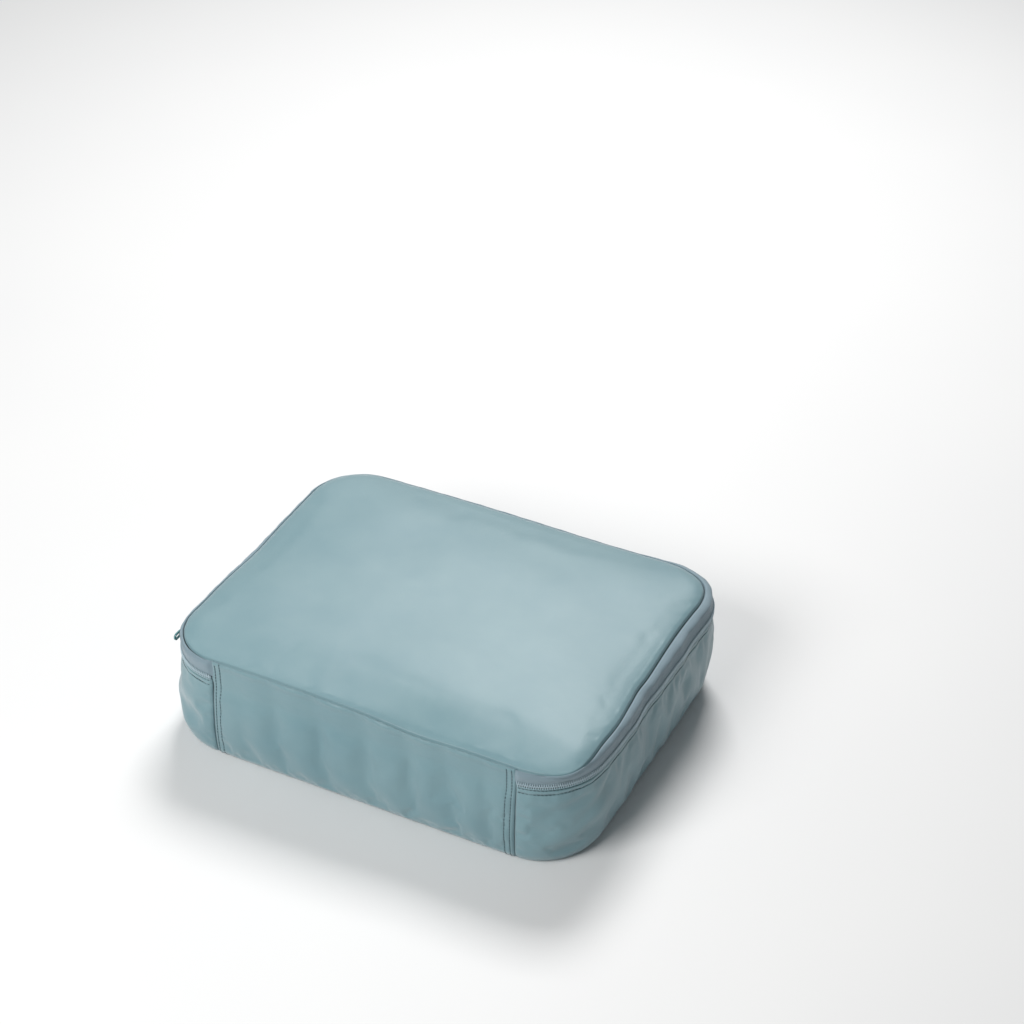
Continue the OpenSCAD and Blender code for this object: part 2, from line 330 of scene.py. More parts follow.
class Lead:
    # a node's output, so that sums and products of leads add Math nodes
    def __init__(self, finish, socket):
        self.finish, self.socket = finish, socket

    def maths(self, operation, *inputs):
        return self.finish.node("ShaderNodeMath", {"operation": operation}, inputs)

    def __add__(self, other):
        return self.maths("ADD", self, other)

    def __sub__(self, other):
        return self.maths("SUBTRACT", self, other)

    def __rsub__(self, other):
        return self.maths("SUBTRACT", other, self)

    def __mul__(self, other):
        return self.maths("MULTIPLY", self, other)

    def __abs__(self):
        return self.maths("ABSOLUTE", self)

    __radd__ = __add__
    __rmul__ = __mul__

    def sine(self):
        return self.maths("SINE", self)


class Finish:
    # a material being built
    def __init__(self, name, **sockets):
        self.material = bpy.data.materials.new(name)
        self.material.use_nodes = True
        self.tree = self.material.node_tree
        self.shader = self.tree.nodes["Principled BSDF"]
        for key, value in sockets.items():
            self.shader.inputs[self.label(key)].default_value = value

    def label(self, key):
        # baseColor becomes Base Color
        return "".join(" " + c if c.isupper() else c for c in key).title()

    def node(self, kind, settings=(), inputs=(), output=0):
        made = self.tree.nodes.new(kind)
        for key, value in dict(settings).items():
            if key == "stops":
                while len(made.color_ramp.elements) < len(value):
                    made.color_ramp.elements.new(0.5)
                for stop, (place, colour) in zip(made.color_ramp.elements, value):
                    stop.position, stop.color = place, colour
            else:
                setattr(made, key, value)
        named = inputs.items() if isinstance(inputs, dict) else enumerate(inputs)
        for key, value in named:
            if isinstance(value, Lead):
                self.tree.links.new(value.socket, made.inputs[key])
            else:
                made.inputs[key].default_value = value
        return Lead(self, made.outputs[output])

    def feed(self, key, lead):
        self.tree.links.new(lead.socket, self.shader.inputs[self.label(key)])

    def clothMap(self):
        return self.node("ShaderNodeUVMap", {"uv_map": "cloth"})

    def axes(self, vector):
        split = self.node("ShaderNodeSeparateXYZ", {}, [vector]).socket.node
        return [Lead(self, split.outputs[k]) for k in range(3)]

    def place(self):
        return self.node("ShaderNodeTexCoord", output="Object")

    def noise(self, vector, scale, detail=3.0, rough=0.5):
        inputs = {"Vector": vector, "Scale": scale, "Detail": detail, "Roughness": rough}
        return self.node("ShaderNodeTexNoise", {}, inputs)

    def blendColour(self, factor, a, b):
        return self.node("ShaderNodeMix", {"data_type": "RGBA"}, {0: factor, 6: a, 7: b}, output=2)

    def bump(self, height, distance, strength=1.0):
        inputs = {"Height": height, "Distance": distance, "Strength": strength}
        self.feed("normal", self.node("ShaderNodeBump", {}, inputs))


shell = {"sage": "#799ba4", "pale": "#7fa0a8", "deep": "#7296a0", "thread": 0.42, "weave": 0.05}


def plainWeave(finish, threadMm):
    # warp and weft hills that take turns: product of two sines sets which thread is on top
    u, v, _ = finish.axes(finish.clothMap())
    turn = math.pi / (threadMm * mm)
    over = (u * turn).sine() * (v * turn).sine()
    warp = abs((u * turn).sine())
    weft = abs((v * turn).sine())
    side = over * 0.5 + 0.5
    return warp * side + weft * (1 - side)


def shellCloth():
    finish = Finish("sageShellCloth", roughness=0.6, sheenWeight=0.3, sheenRoughness=0.5)
    place = finish.place()
    broad = finish.noise(place, 9.0, 3.0, 0.55)
    cloudy = finish.noise(place, 34.0, 4.0, 0.6)
    weave = plainWeave(finish, shell["thread"])
    u, v, _ = finish.axes(finish.clothMap())
    slub = finish.noise(finish.node("ShaderNodeCombineXYZ", {}, [u * 60, v * 1400, 0.0]), 1.0, 2.0)
    stops = [(0.34, linear(shell["deep"])), (0.52, linear(shell["sage"])), (0.68, linear(shell["pale"]))]
    tone = finish.node("ShaderNodeValToRGB", {"stops": stops}, [broad * 0.72 + cloudy * 0.28])
    grain = finish.blendColour(weave * 0.16 + slub * 0.12, tone, linear("#5b7c80"))
    finish.feed("baseColor", grain)
    finish.feed("roughness", cloudy * 0.04 + weave * 0.05 + 0.34)
    finish.bump(weave * 0.8 + slub * 0.35 + cloudy * 0.6, shell["weave"] * mm, 0.9)
    return finish.material


def coatedBacking():
    finish = Finish("coatedBacking", roughness=0.42, sheenWeight=0.1)
    place = finish.place()
    crease = finish.noise(place, 55.0, 5.0, 0.6)
    weave = plainWeave(finish, shell["thread"])
    finish.feed("baseColor", finish.blendColour(crease * 0.5 + weave * 0.15, linear("#8c9ea0"), linear("#768a8d")))
    finish.feed("roughness", crease * 0.2 + 0.34)
    finish.bump(crease * 1.5 + weave * 0.4, 0.08 * mm, 0.8)
    return finish.material


def ribbedTape(name, main, shade, ribMm):
    # woven tape: fine ribs along its length, crossed by a chevron that changes side at each rib pair, with painted
    # shade in the hollows between the ribs
    finish = Finish(name, roughness=0.7, sheenWeight=0.25, sheenRoughness=0.5)
    u, v, _ = finish.axes(finish.clothMap())
    rib = abs((v * (math.pi / (ribMm * mm))).sine())
    chevron = (u * (2 * math.pi / (0.9 * mm)) + abs((v * (math.pi / (2.4 * mm))).sine()) * 3.0).sine() * 0.5 + 0.5
    cloudy = finish.noise(finish.place(), 42.0, 3.0, 0.6)
    tone = finish.blendColour(cloudy, linear(main), linear(shade))
    # painted shade: the colour darkens towards #41535c in the hollows between the ribs, where the bump sinks; the
    # chevron term adds a woven pattern tone
    finish.feed("baseColor", finish.blendColour((1 - rib) * 0.27 + chevron * 0.1, tone, linear("#41535c")))
    finish.feed("roughness", cloudy * 0.12 + 0.6)
    finish.bump(rib * 0.8 + chevron * 0.3, 0.12 * mm)
    return finish.material


def coilNylon():
    finish = Finish("coilNylon", roughness=0.34)
    drawn = finish.noise(finish.place(), 260.0, 2.0)
    finish.feed("baseColor", finish.blendColour(drawn, linear("#a3bac4"), linear("#b7cbd3")))
    finish.feed("roughness", drawn * 0.15 + 0.26)
    return finish.material


def threadWithPaintedShade():
    finish = Finish("tealThreadPaintedShade", roughness=0.55, sheenWeight=0.2)
    x, y, z = finish.axes(finish.place())
    twist = ((x + y + z * 1.7) * (2 * math.pi / (0.45 * mm))).sine() * 0.5 + 0.5
    # painted shade: both thread tones are far darker than the teal cloth, standing in for the shade in the needle
    # holes and beside the stitches; the twist mix also paints the ply ridges lighter and the grooves between them
    # darker
    finish.feed("baseColor", finish.blendColour(twist, linear("#2b454d"), linear("#3d5a61")))
    finish.bump(twist, 0.06 * mm)
    return finish.material


def glossPaint():
    finish = Finish("tealGlossPaint", roughness=0.22, coatWeight=0.6, coatRoughness=0.08)
    place = finish.place()
    flow = finish.noise(place, 420.0, 2.0)
    stops = [(0.62, (0, 0, 0, 1)), (0.70, (1, 1, 1, 1))]
    worn = finish.node("ShaderNodeValToRGB", {"stops": stops}, [finish.noise(place, 900.0, 4.0, 0.65)])
    base = finish.blendColour(flow, linear("#4f8084"), linear("#5c8e90"))
    finish.feed("baseColor", finish.blendColour(worn * 0.22, base, linear("#a9b9ba")))
    finish.feed("roughness", flow * 0.12 + 0.16)
    finish.bump(flow, 0.03 * mm, 0.6)
    return finish.material


def pinSteel():
    finish = Finish("pinSteel", metallic=1.0, roughness=0.3)
    x, y, z = finish.axes(finish.place())
    brushed = finish.noise(finish.node("ShaderNodeCombineXYZ", {}, [x * 4000, y * 300, z * 4000]), 1.0, 2.0)
    finish.feed("baseColor", finish.blendColour(brushed, linear("#a7aaab"), linear("#c2c5c6")))
    finish.feed("roughness", brushed * 0.2 + 0.22)
    return finish.material


clothOutside = shellCloth()
clothInside = coatedBacking()
zipTapeFinish = ribbedTape("zipTapeWeave", "#8aa1ac", "#7f97a3", 0.62)
bindingFinish = ribbedTape("bindingWeave", "#71898f", "#667e85", 0.9)
coilFinish = coilNylon()
threadAndShadeFinish = threadWithPaintedShade()
paintFinish = glossPaint()
steelFinish = pinSteel()
print("finishes made")

stitch = {"long": 2.0, "pitch": 3.4, "thick": 0.4, "dip": 0.42, "upright": (3.8, 8.8), "hem": (1.8, 6.8)}

# Side wall
wall = {
    "belly": 6.0,  # how far the straight walls swell, in mm
    "cornerBelly": 3.6,
    "footRoll": 9,  # radius by which a wall turns under to the bottom seam
    "seamDip": 2.0,
    "hemBend": 0.9,  # radius of the folded edge
    "tuckDown": [1.8, 5, 8],  # the turned-in edge inside, below the fold and in from it
    "tuckIn": [1.3, 1.6, 1.7],
    "underfoot": 3.2,  # how far the foot turns under
    # distance round the bag, height, angle, half length, half width, depth
    "creases": [
        (205, 66, 20, 30, 5.5, -1.7), (232, 60, 32, 34, 6, -1.5), (222, 44, 26, 30, 8, 1.6),
        (182, 52, 12, 22, 6, -1.0), (262, 40, 40, 30, 9, -1.3), (300, 58, 55, 26, 8, 1.0),
        (330, 44, 60, 30, 9, -1.2), (372, 50, 62, 30, 9, 1.1), (402, 38, 66, 28, 9, -1.2),
        (446, 52, 78, 30, 7, 1.2), (468, 40, 84, 34, 7, -1.5), (492, 46, 92, 34, 7, 1.4),
        (530, 50, 100, 34, 9, -1.2), (600, 44, 80, 30, 12, 1.0), (660, 40, 95, 30, 12, -1.1),
        (720, 50, 75, 26, 12, 0.9), (790, 42, 100, 30, 12, -1.0), (880, 46, 90, 30, 9, 1.1),
        (905, 40, 80, 30, 8, -1.2), (960, 44, 70, 30, 12, 0.9), (1030, 38, 100, 30, 12, -1.0),
        (1100, 46, 85, 30, 12, 0.9), (1160, 40, 110, 26, 9, -1.1), (1195, 50, 70, 26, 8, 0.9),
        (1225, 40, 95, 24, 8, -0.9),
    ],
    "thickness": 0.6,
    "cloth": {"bend": 1.5, "push": 2.0, "slack": 0.012, "cap": 3.5, "steps": 24},
}


def creased(t, z):
    # soft folds in the wall, each a bell across its width and along its length, turned by an angle from level
    total = np.zeros(np.broadcast(t, z).shape)
    for at, high, angle, long, wide, deep in wall["creases"]:
        c, s = math.cos(math.radians(angle)), math.sin(math.radians(angle))
        dt, dz = t - at * mm, z - high * mm
        along, across = (dt * c + dz * s) / (long * mm), (dz * c - dt * s) / (wide * mm)
        total += deep * mm * np.exp(-(along**2) - across**2)
    return total


def bellyOut(t, z):
    # swelling of the walls: half a sine in a power of the depth below the zip, so it is fullest low down,
    # less on the corners and beside the upright seams
    depth = (bag["zip"] - 8 * mm - z) / (bag["zip"] - 8 * mm)
    straight = 1 - np.clip(sum(np.exp(-(((np.mod(t, girth) - c) / (52 * mm)) ** 2)) for c in
                               (legStart[k] + quarter / 2 for k in (1, 3, 5, 7))), 0, 1)
    full = (wall["cornerBelly"] + (wall["belly"] - wall["cornerBelly"]) * straight) * mm
    q = np.clip(depth, 0, 1)
    beside = 1 - 0.45 * (swell(t, [(zipStart / mm, 14, 1), (zipEnd / mm, 14, 1)]) / mm)
    return full * np.sin(np.pi * q**1.35) ** 0.8 * beside


def endDip(t):
    # both cloths turn in to the upright seam within a couple of millimetres
    return -wall["seamDip"] * mm * (swell(t, [(zipStart / mm, 1.3, 1), (zipEnd / mm, 1.3, 1)]) / mm)


def onWall(t, out, z):
    x, y, nx, ny = aroundBag(t)
    return np.stack([x + nx * out, y + ny * out, z], -1)


def footCurve(z):
    # near the floor the wall rolls under towards the bottom seam
    roll = wall["footRoll"] * mm
    k = np.clip((roll - z) / roll, 0, 1)
    return -0.38 * roll * k**2.2


def sideWall():
    cols, rows = 223, 19
    t = np.linspace(zipStart, zipEnd, cols)[:, None]
    z = np.linspace(bag["hem"], 0.8 * mm, rows)[None, :]
    depth = (bag["hem"] - z) / bag["hem"]
    out = bellyOut(t, z) + footCurve(z) + zipSway(t) * (1 - depth) ** 0.8
    rise = zipRise(t) * (1 - depth) ** 1.5
    coarse = onWall(t + 0 * z, out, z + rise)
    seed = 0.6 * mm * unevenness(t, z, 11, 26, 60) * ease(bag["hem"] - z, 10 * mm, 30 * mm) * ease(z, 6 * mm, 22 * mm)
    seed = seed * ease(np.minimum(t - zipStart, zipEnd - t), 5 * mm, 22 * mm)
    nx, ny = aroundBag(t[:, 0])[2:]
    held = np.zeros(coarse.shape[:2], bool)
    held[:, :3] = held[:, -2:] = True
    held[0], held[-1] = True, True
    start = coarse + np.stack([nx[:, None] * seed, ny[:, None] * seed, 0 * seed], -1)
    moved = slackCloth("sideWallCloth", start, held, wall["cloth"]) + start - coarse

    # the finished wall: fine rows through the folded hem and its two stitch rows, then the settled cloth
    hemRows = np.concatenate([np.linspace(0, 9.0, 31), np.linspace(10.2, 86.4, 44)]) * mm
    fine = np.linspace(0, cols - 1, 889)
    tFine = np.interp(fine, np.arange(cols), t[:, 0])[:, None]
    zFine = bag["hem"] - hemRows
    rowAt = np.clip(hemRows / (bag["hem"] - 0.8 * mm) * (rows - 1), 0, rows - 1)
    settled = resampled(moved, fine, rowAt)
    depth = ((bag["hem"] - zFine) / bag["hem"])[None, :]
    out = bellyOut(tFine, zFine[None, :]) + footCurve(zFine[None, :]) + zipSway(tFine) * (1 - depth) ** 0.8
    out = out + creased(tFine, zFine[None, :]) * ease(hemRows[None, :], 6 * mm, 20 * mm)
    below = hemRows[None, :]
    for row in stitch["hem"]:  # the thread pulls the doubled cloth in, most where it goes through
        pull = np.exp(-(((below - row * mm) / (0.75 * mm)) ** 2))
        deep = 0.85 if row < 3 else 0.6
        out = out - pull * (deep - 0.25 * np.cos(2 * np.pi * (tFine - zipStart) / (stitch["pitch"] * mm))) * mm
    hemEdge = np.exp(-((below / (1.1 * mm)) ** 2)) * 0.9 * mm  # the fold stands a little proud
    out = out + hemEdge + 0.22 * mm * np.exp(-(((below - 4.2 * mm) / (1.6 * mm)) ** 2))
    ripple = np.sin(2 * np.pi * tFine / (27 * mm)) * 0.35 + np.sin(2 * np.pi * tFine / (11.3 * mm) + 1) * 0.16
    out = out + ripple * mm * np.exp(-(((below - 9 * mm) / (6 * mm)) ** 2))
    out = out + endDip(tFine)
    grid = onWall(tFine + 0 * out, out, zFine[None, :] + zipRise(tFine) * (1 - depth) ** 1.5) + settled
    # the fold: a small half circle over to the turned-in edge inside
    turn = np.linspace(0, np.pi, 6)[1:]
    bend = wall["hemBend"] * mm
    edge = out[:, :1]
    foldOut = edge - bend * (1 - np.cos(turn))[None, :]
    foldUp = (zFine[0] + zipRise(tFine)) + bend * np.sin(turn)[None, :]
    tuckDown = np.array(wall["tuckDown"]) * mm
    tuckOut = foldOut[:, -1:] - np.array(wall["tuckIn"]) * mm
    insideOut = np.concatenate([foldOut, tuckOut], 1)
    insideZ = np.concatenate([foldUp, foldUp[:, -1:] - tuckDown[None, :]], 1)
    fold = onWall(tFine + 0 * insideOut, insideOut, insideZ)
    # down at the floor the wall turns under to the bottom seam
    under = np.linspace(0, 1, 6)[1:]
    footOut = out[:, -1:] - wall["underfoot"] * mm * np.sin(under * np.pi / 2)[None, :]
    footZ = np.repeat(1.6 * mm - 1.1 * mm * np.sin(under * np.pi / 2)[None, :], len(tFine), 0)
    foot = onWall(tFine + 0 * footOut, footOut, footZ) + settled[:, -1:] * (1 - under)[None, :, None]
    whole = np.concatenate([fold[:, ::-1], grid, foot], 1)
    across = lengthAlong(whole[400])  # a row on the far side
    piece = gridPiece("sideWall", whole, tFine[:, 0], across, [clothOutside, clothInside])
    return thicken(piece, wall["thickness"] * mm)


sideWallPiece = sideWall()
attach(sideWallPiece, "base")
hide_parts("side_wall")
print("side wall sewn")

# Hinge panel
hinge = {
    "fold": -(bag["halfDeep"] + 1 * mm),
    "cloth": {"bend": 1.5, "push": 1.4, "slack": 0.009, "cap": 2.4, "steps": 24},
    "rolls": [
        (-128, 9, -0.5), (-108, 10, 0.6), (-88, 9, -1.1), (-66, 11, 0.9), (-44, 9, -1.3),
        (-20, 11, 1.0), (4, 9, -1.3), (26, 11, 0.9), (48, 8, -1.2), (68, 9, 0.8),
        (86, 8, -1.0), (106, 9, 0.7), (124, 8, -0.7), (140, 7, 0.4),
    ],
    "lean": 0.18,  # sideways run of the rolls for their height
}


def besideFold(z):
    # 1 near the fold line and above, where the folded strip has to lie flat on the panel
    return ease(z, bag["zip"] - 24 * mm, bag["zip"] - 10 * mm)


def hingeOut(t, z, top):
    # swelling below the fold, upright rolls in the cloth, and a roll of the top edge into the seam
    rolls = 1.8 * swell(t + hinge["lean"] * (z - bag["zip"]), hinge["rolls"])
    inward = rolls * (1 - 0.5 * besideFold(z)) - 0.9 * mm * besideFold(z) * ease(top - z, 1 * mm, 10 * mm)
    # the ends stay level where the lid folds
    dip = endDip(t) * (1 - 0.85 * np.exp(-(((z - bag["zip"]) / (7 * mm)) ** 2)))
    edge = np.exp(-(((top - z) / (1.5 * mm)) ** 2))
    return (bellyOut(t, z) + footCurve(z) + dip + inward * (1 - edge) * ease(z, 2 * mm, 34 * mm)
            + 0.12 * mm * np.exp(-(((top - z - 3.4 * mm) / (1.8 * mm)) ** 2)) - 0.7 * mm * edge)


def hingePanel():
    cols, rows = 77, 28
    t = np.linspace(bag["hingeLeft"], bag["hingeRight"], cols)[:, None]
    s = np.linspace(0, 1, rows)[None, :]
    top = bag["seam"] + seamRise(t)
    z = 0.8 * mm + s * (top - 0.8 * mm)
    coarse = onWall(t + 0 * s, hingeOut(t, z, top), z)
    held = np.zeros((cols, rows), bool)
    held[:, :2] = held[:, -6:] = True
    held[:2], held[-2:] = True, True
    seed = 0.35 * mm * unevenness(t, z, 5, 22, 46) * ease(top - z, 22 * mm, 42 * mm) * ease(z, 6 * mm, 22 * mm)
    seed = seed * ease(np.minimum(t - bag["hingeLeft"], bag["hingeRight"] - t), 6 * mm, 22 * mm)
    start = coarse.copy()
    start[..., 1] -= seed
    moved = slackCloth("hingePanelCloth", start, held, hinge["cloth"]) + start - coarse
    moved = moved * (1 - 0.8 * besideFold(z))[..., None]

    fine = np.linspace(0, cols - 1, 381)
    tFine = np.interp(fine, np.arange(cols), t[:, 0])[:, None]
    sFine = np.concatenate([np.linspace(0, 0.8, 64), np.linspace(0.8, 1, 41)[1:]])[None, :]
    settled = resampled(moved, fine, sFine[0] * (rows - 1))
    top = bag["seam"] + seamRise(tFine)
    z = 0.8 * mm + sFine * (top - 0.8 * mm)
    out = hingeOut(tFine, z, top)
    fromEnd = np.minimum(bag["hingeRight"] - tFine, tFine - bag["hingeLeft"])
    for row in stitch["upright"]:
        pull = np.exp(-(((fromEnd - row * mm) / (0.75 * mm)) ** 2))
        out = out - pull * (0.38 - 0.28 * np.cos(2 * np.pi * (z - 2.5 * mm) / (stitch["pitch"] * mm))) * mm
    pucker = np.sin(2 * np.pi * tFine / (9.1 * mm)) * 0.10 + np.sin(2 * np.pi * tFine / (5.3 * mm) + 2) * 0.05
    out = out + pucker * mm * np.exp(-((top - z) / (5 * mm)))
    grid = onWall(tFine + 0 * z, out, z) + settled
    under = np.linspace(0, 1, 5)[1:]
    footOut = out[:, :1] - wall["underfoot"] * mm * np.sin(under * np.pi / 2)[None, :]
    footZ = np.repeat(0.8 * mm - 0.3 * mm * under[None, :], len(tFine), 0)
    foot = onWall(tFine + 0 * footOut, footOut, footZ)
    # the top edge curls over and down into the seam
    over = np.linspace(0, 1, 8)[1:]
    curlOut = out[:, -1:] - 1.0 * mm * np.sin(over * np.pi / 2)[None, :]
    curl = onWall(tFine + 0 * curlOut, curlOut, z[:, -1:] - 2.2 * mm * over[None, :] ** 2)
    whole = np.concatenate([foot[:, ::-1], grid, curl], 1)
    across = lengthAlong(whole[len(whole) // 2])
    piece = gridPiece("hingePanel", whole, tFine[:, 0], across, [clothOutside, clothInside])
    return thicken(piece, wall["thickness"] * mm), (tFine, z, out, settled)


hingePiece, hingeShape = hingePanel()
foldLow = (0, hinge["fold"], bag["zip"] - 3 * mm)
foldHigh = (0, hinge["fold"], bag["zip"] + 3 * mm)
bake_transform(hingePiece, "base", "lid", foldLow, foldHigh)
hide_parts("hinge_panel", "hinge_strip")
print("hinge panel sewn")

# Top and bottom panels
crown = {
    "rise": 12,
    "roll": 3.8,  # height of the edge's turn down to the seam
    "rollWide": 17,
    "ditch": 1.9,  # how deep the edge sinks into the seam, and its half width
    "ditchWide": 0.65,
    "cloth": {"bend": 3.0, "push": 0.8, "slack": 0.0005, "cap": 0.7, "steps": 20},
}


def crowded(n, amount):
    # steps from 0 to 1 that crowd towards both ends
    s = np.linspace(-1, 1, n)
    return 0.5 + 0.5 * ((1 - amount) * s + amount * np.sin(np.pi * s / 2))


def patch(u, v, edge):
    # a sheet between four edge curves that meet at the middles of the corners: opposite edges blended
    # both ways, less the blend of the four meeting points
    half = straightX + quarter / 2
    side = straightY + quarter / 2
    near = edge(-half + 2 * half * u)[:, None]
    far = edge(farMiddle + half - 2 * half * u)[:, None]
    left = edge(leftMiddle + side - 2 * side * v)[None, :]
    right = edge(rightMiddle - side + 2 * side * v)[None, :]
    a, b = u[:, None, None], v[None, :, None]
    return ((1 - b) * near + b * far + (1 - a) * left + a * right
            - (1 - a) * (1 - b) * near[:1] - a * (1 - b) * near[-1:] - (1 - a) * b * far[:1] - a * b * far[-1:])


def topEdge(t):
    x, y, nx, ny = aroundBag(t)
    out = seamSway(t) - 0.9 * mm
    return np.stack([x + nx * out, y + ny * out, seamRise(t)], -1)


def topShape(u, v):
    grid = patch(u, v, topEdge)
    x, y, rise = grid[..., 0], grid[..., 1], grid[..., 2]
    # distance in from the seam itself, which strays from the outline by its sway
    d = np.maximum(insideBy(x, y) + seamSway(nearestRun(x, y)) - 0.9 * mm, 0)
    border = np.minimum(np.minimum(u, 1 - u)[:, None], np.minimum(v, 1 - v)[None, :])
    d = d * ease(border, 0, 0.003)
    beside = ease(-y, bag["halfDeep"] - 48 * mm, bag["halfDeep"] - 14 * mm)  # flatter next to the hinge
    roll = crown["roll"] * mm * (1 - (1 - np.clip(d / (crown["rollWide"] * mm), 0, 1)) ** 2.3) * (1 - 0.6 * beside)
    pillow = (1 - np.abs(x / bag["halfLong"]) ** 3.2) * (1 - np.abs(y / bag["halfDeep"]) ** 3.0)
    ditch = crown["ditch"] * mm * np.exp(-((d / (crown["ditchWide"] * mm)) ** 2))
    dome = (crown["rise"] - crown["roll"]) * mm * np.clip(pillow, 0, 1)
    grid[..., 2] = bag["seam"] - ditch + rise * np.exp(-d / (26 * mm)) + roll + dome
    return grid, d


def topPanel():
    nu, nv = 85, 69
    u, v = crowded(nu, 0.55), crowded(nv, 0.55)
    coarse, d = topShape(u, v)
    held = d < 6 * mm
    start = coarse.copy()
    start[..., 2] += 0.22 * mm * unevenness(coarse[..., 0], coarse[..., 1], 3, 60, 150) * ease(d, 8 * mm, 50 * mm)
    moved = slackCloth("topPanelCloth", start, held, crown["cloth"]) + start - coarse

    fineU, fineV = crowded(253, 0.72), crowded(205, 0.72)
    rowU = np.interp(fineU, u, np.arange(nu))
    rowV = np.interp(fineV, v, np.arange(nv))
    settled = resampled(moved, rowU, rowV)
    grid, d = topShape(fineU, fineV)
    angle = np.arctan2(grid[..., 1] / bag["halfDeep"], grid[..., 0] / bag["halfLong"])
    # small gathers where the seam draws the cloth in
    pucker = np.sin(angle * 118) * 0.5 + np.sin(angle * 67 + 1) * 0.5
    grid[..., 2] += 0.16 * mm * pucker * np.exp(-((d - 3 * mm) / (3.2 * mm)) ** 2)
    grid = grid + settled
    across = fineV * 2 * bag["halfDeep"]
    piece = gridPiece("topPanel", grid, fineU * 2 * bag["halfLong"], across, [clothOutside, clothInside])
    return thicken(piece, wall["thickness"] * mm)


topPiece = topPanel()
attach(topPiece, "lid")
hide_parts("top_panel")
print("top panel sewn")


def bottomEdge(t):
    x, y, nx, ny = aroundBag(t)
    out = -3.4 * mm + 0 * t
    return np.stack([x + nx * out, y + ny * out, 0 * t], -1)


def bottomPanel():
    u, v = crowded(121, 0.7), crowded(99, 0.7)
    grid = patch(u, v, bottomEdge)
    x, y = grid[..., 0], grid[..., 1]
    d = np.maximum(insideBy(x, y) - 3.4 * mm, 0)
    # flat where it rests on the floor, turned up slightly into the seam
    grid[..., 2] = 0.75 * mm * (1 - ease(d, 0, 4 * mm)) + 0.05 * mm
    across = v * 2 * bag["halfDeep"]
    piece = gridPiece("bottomPanel", grid, u * 2 * bag["halfLong"], across, [clothOutside, clothInside])
    return thicken(piece, wall["thickness"] * mm)


bottomPiece = bottomPanel()
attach(bottomPiece, "base")
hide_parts("bottom_panel")
print("bottom panel sewn")

# Zip tapes and coils
zipper = {
    "tuck": 8,  # length sewn behind the hinge panel
    "tape": 0.55,  # thickness
    "pitch": 2.0,
    "wire": 0.52,
    "outside": 0.55,  # front of a loop beyond the wall
    "inside": -0.75,
    "head": 0.5,  # how far a loop reaches past the middle
    "tail": 2.9,
}


def ribbon(name, profile, body, node, step):
    # a strip carried round the bag: the profile gives offset and height at each distance and fraction of its width
    first, last = zipStart - zipper["tuck"] * mm, zipEnd + zipper["tuck"] * mm
    n = int(round((last - first) / (step * mm))) + 1
    t = np.linspace(first, last, n)[:, None]
    f = np.linspace(0, 1, 41)[None, :] ** 1.4
    out, z = profile(t, f)
    grid = onWall(t + 0 * f, out, z)
    across = lengthAlong(grid[n // 2])
    piece = gridPiece(name, grid, t[:, 0], across, [zipTapeFinish, zipTapeFinish])
    thicken(piece, zipper["tape"] * mm)
    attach(piece, body)
    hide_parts(node)


def behindPanel(t):
    # 1 where the tape is tucked behind the hinge panel
    return 1 - ease(t, zipStart - 1 * mm, zipStart + 3 * mm) * (1 - ease(t, zipEnd - 3 * mm, zipEnd + 1 * mm))


def upperProfile(t, f):
    # down from the top seam: a quarter turn out to a soft shoulder, then in under the coil
    tucked = behindPanel(t)
    wave = np.sin(2 * np.pi * t / (31 * mm)) * 0.3 + np.sin(2 * np.pi * t / (12.7 * mm) + 1) * 0.12
    ripple = wave * mm * np.sin(np.pi * np.clip(f / 0.7, 0, 1))
    top = bag["seam"] + seamRise(t) - 0.3 * mm
    low = bag["zip"] + 0.9 * mm + zipRise(t)
    start, end = seamSway(t) - 0.3 * mm, zipSway(t) - 0.3 * mm
    shoulder = start + 0.7 * (end + 0.3 * mm - start) + 1.5 * mm * (1 - tucked)
    turn = np.clip(f / 0.4, 0, 1) * np.pi / 2
    along = np.clip((f - 0.4) / 0.6, 0, 1)
    out = start + (shoulder - start) * np.sin(turn) + (end - shoulder) * ease(along, 0.05, 1)
    z = top - 4.2 * mm * (1 - np.cos(turn)) + (low - top + 4.2 * mm) * along - 1.8 * mm * np.exp(-((f / 0.035) ** 2))
    return out + ripple * (1 - tucked) - 0.8 * mm * tucked, z


def lowerProfile(t, f):
    tucked = behindPanel(t)
    out = -0.3 * mm - 1.4 * mm * ease(f, 0, 0.1) - 2.6 * mm * ease(f, 0.08, 0.25) - 0.6 * mm * tucked + zipSway(t)
    z = bag["zip"] - 0.9 * mm + 1.2 * mm * tucked * (1 - f) + zipRise(t) * (1 - 0.5 * f) - 15.5 * mm * f
    return out + 0 * f, z


ribbon("upperTape", upperProfile, "lid", "upper_zip_tape", 2.0)
ribbon("lowerTape", lowerProfile, "base", "lower_zip_tape", 3.0)


def tubeTemplate(path, radius, sides):
    # a closed tube along a path in the plane: rings of points round each path point, and a point at each end
    path = np.asarray(path, float)
    way = np.gradient(path, axis=0)
    way /= np.linalg.norm(way, axis=1, keepdims=True)
    a = np.arange(sides) * 2 * np.pi / sides
    flat = np.stack([0 * way[:, 0], -way[:, 2], way[:, 1]], -1)
    sideways = np.sin(a)[None, :, None] * np.array([1.0, 0, 0])
    ring = path[:, None] + radius * (np.cos(a)[None, :, None] * flat[:, None] + sideways)
    n = len(path)
    faces = gridFaces(n, sides, wrapV=True)[0]
    last = (n - 1) * sides  # first point of the last ring
    ends = np.array([[n * sides, k, (k + 1) % sides, (k + 1) % sides] for k in range(sides)]
                    + [[n * sides + 1, last + (k + 1) % sides, last + k, last + k] for k in range(sides)])
    tips = path[:1] - way[:1] * radius * 0.6, path[-1:] + way[-1:] * radius * 0.6
    points = np.concatenate([ring.reshape(-1, 3), *tips])
    return points, np.concatenate([faces, ends])


